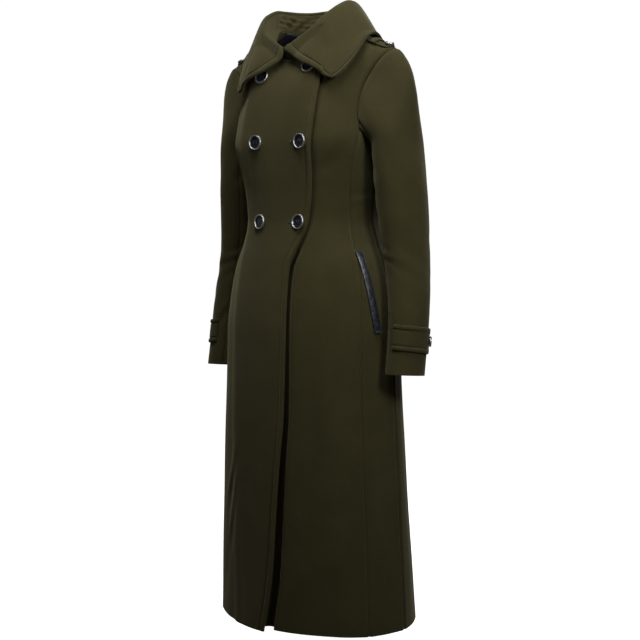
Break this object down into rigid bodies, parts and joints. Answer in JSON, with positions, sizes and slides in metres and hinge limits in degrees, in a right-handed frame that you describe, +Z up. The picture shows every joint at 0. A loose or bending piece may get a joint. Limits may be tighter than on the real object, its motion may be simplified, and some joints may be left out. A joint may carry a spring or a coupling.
{
  "type": "double-breasted coat",
  "caption": "Long fitted double-breasted coat with a wide fold-down collar, shoulder straps, strapped cuffs and slanted pockets, held open in its worn form.",
  "frame": {"origin": "midway between the two points where neck and shoulder meet, where the wearer's shoulders hold the coat", "axes": "+X to the wearer's left, -Y to the front, +Z up"},
  "size_m": [0.5408, 0.3643, 1.2652],
  "materials": {
    "wool": "dark olive felted wool with a short nap",
    "leather": "black, smooth, half glossy",
    "lining": "dark navy satin",
    "button": "bright metal ring round a dark centre"
  },
  "bodies": {
    "root": {"front_right": "wool", "front_left": "wool", "side_front_right": "wool", "side_back_right": "wool", "back_right": "wool", "sleeve_upper_right": "wool", "sleeve_under_right": "wool", "epaulette_right": "wool", "epaulette_keeper_right": "wool", "cuff_strap_right": "wool", "pocket_welt_right": "leather", "neck_lining_right": "lining", "epaulette_button_right": "button", "cuff_button_right": "button", "side_front_left": "wool", "side_back_left": "wool", "back_left": "wool", "sleeve_upper_left": "wool", "sleeve_under_left": "wool", "epaulette_left": "wool", "epaulette_keeper_left": "wool", "cuff_strap_left": "wool", "pocket_welt_left": "leather", "neck_lining_left": "lining", "epaulette_button_left": "button", "cuff_button_left": "button", "collar_stand": "wool", "collar_fall": "wool", "button_top_right": "button", "button_top_left": "button", "button_chest_right": "button", "button_chest_left": "button", "button_waist_right": "button", "button_waist_left": "button"}
  },
  "joints": []
}
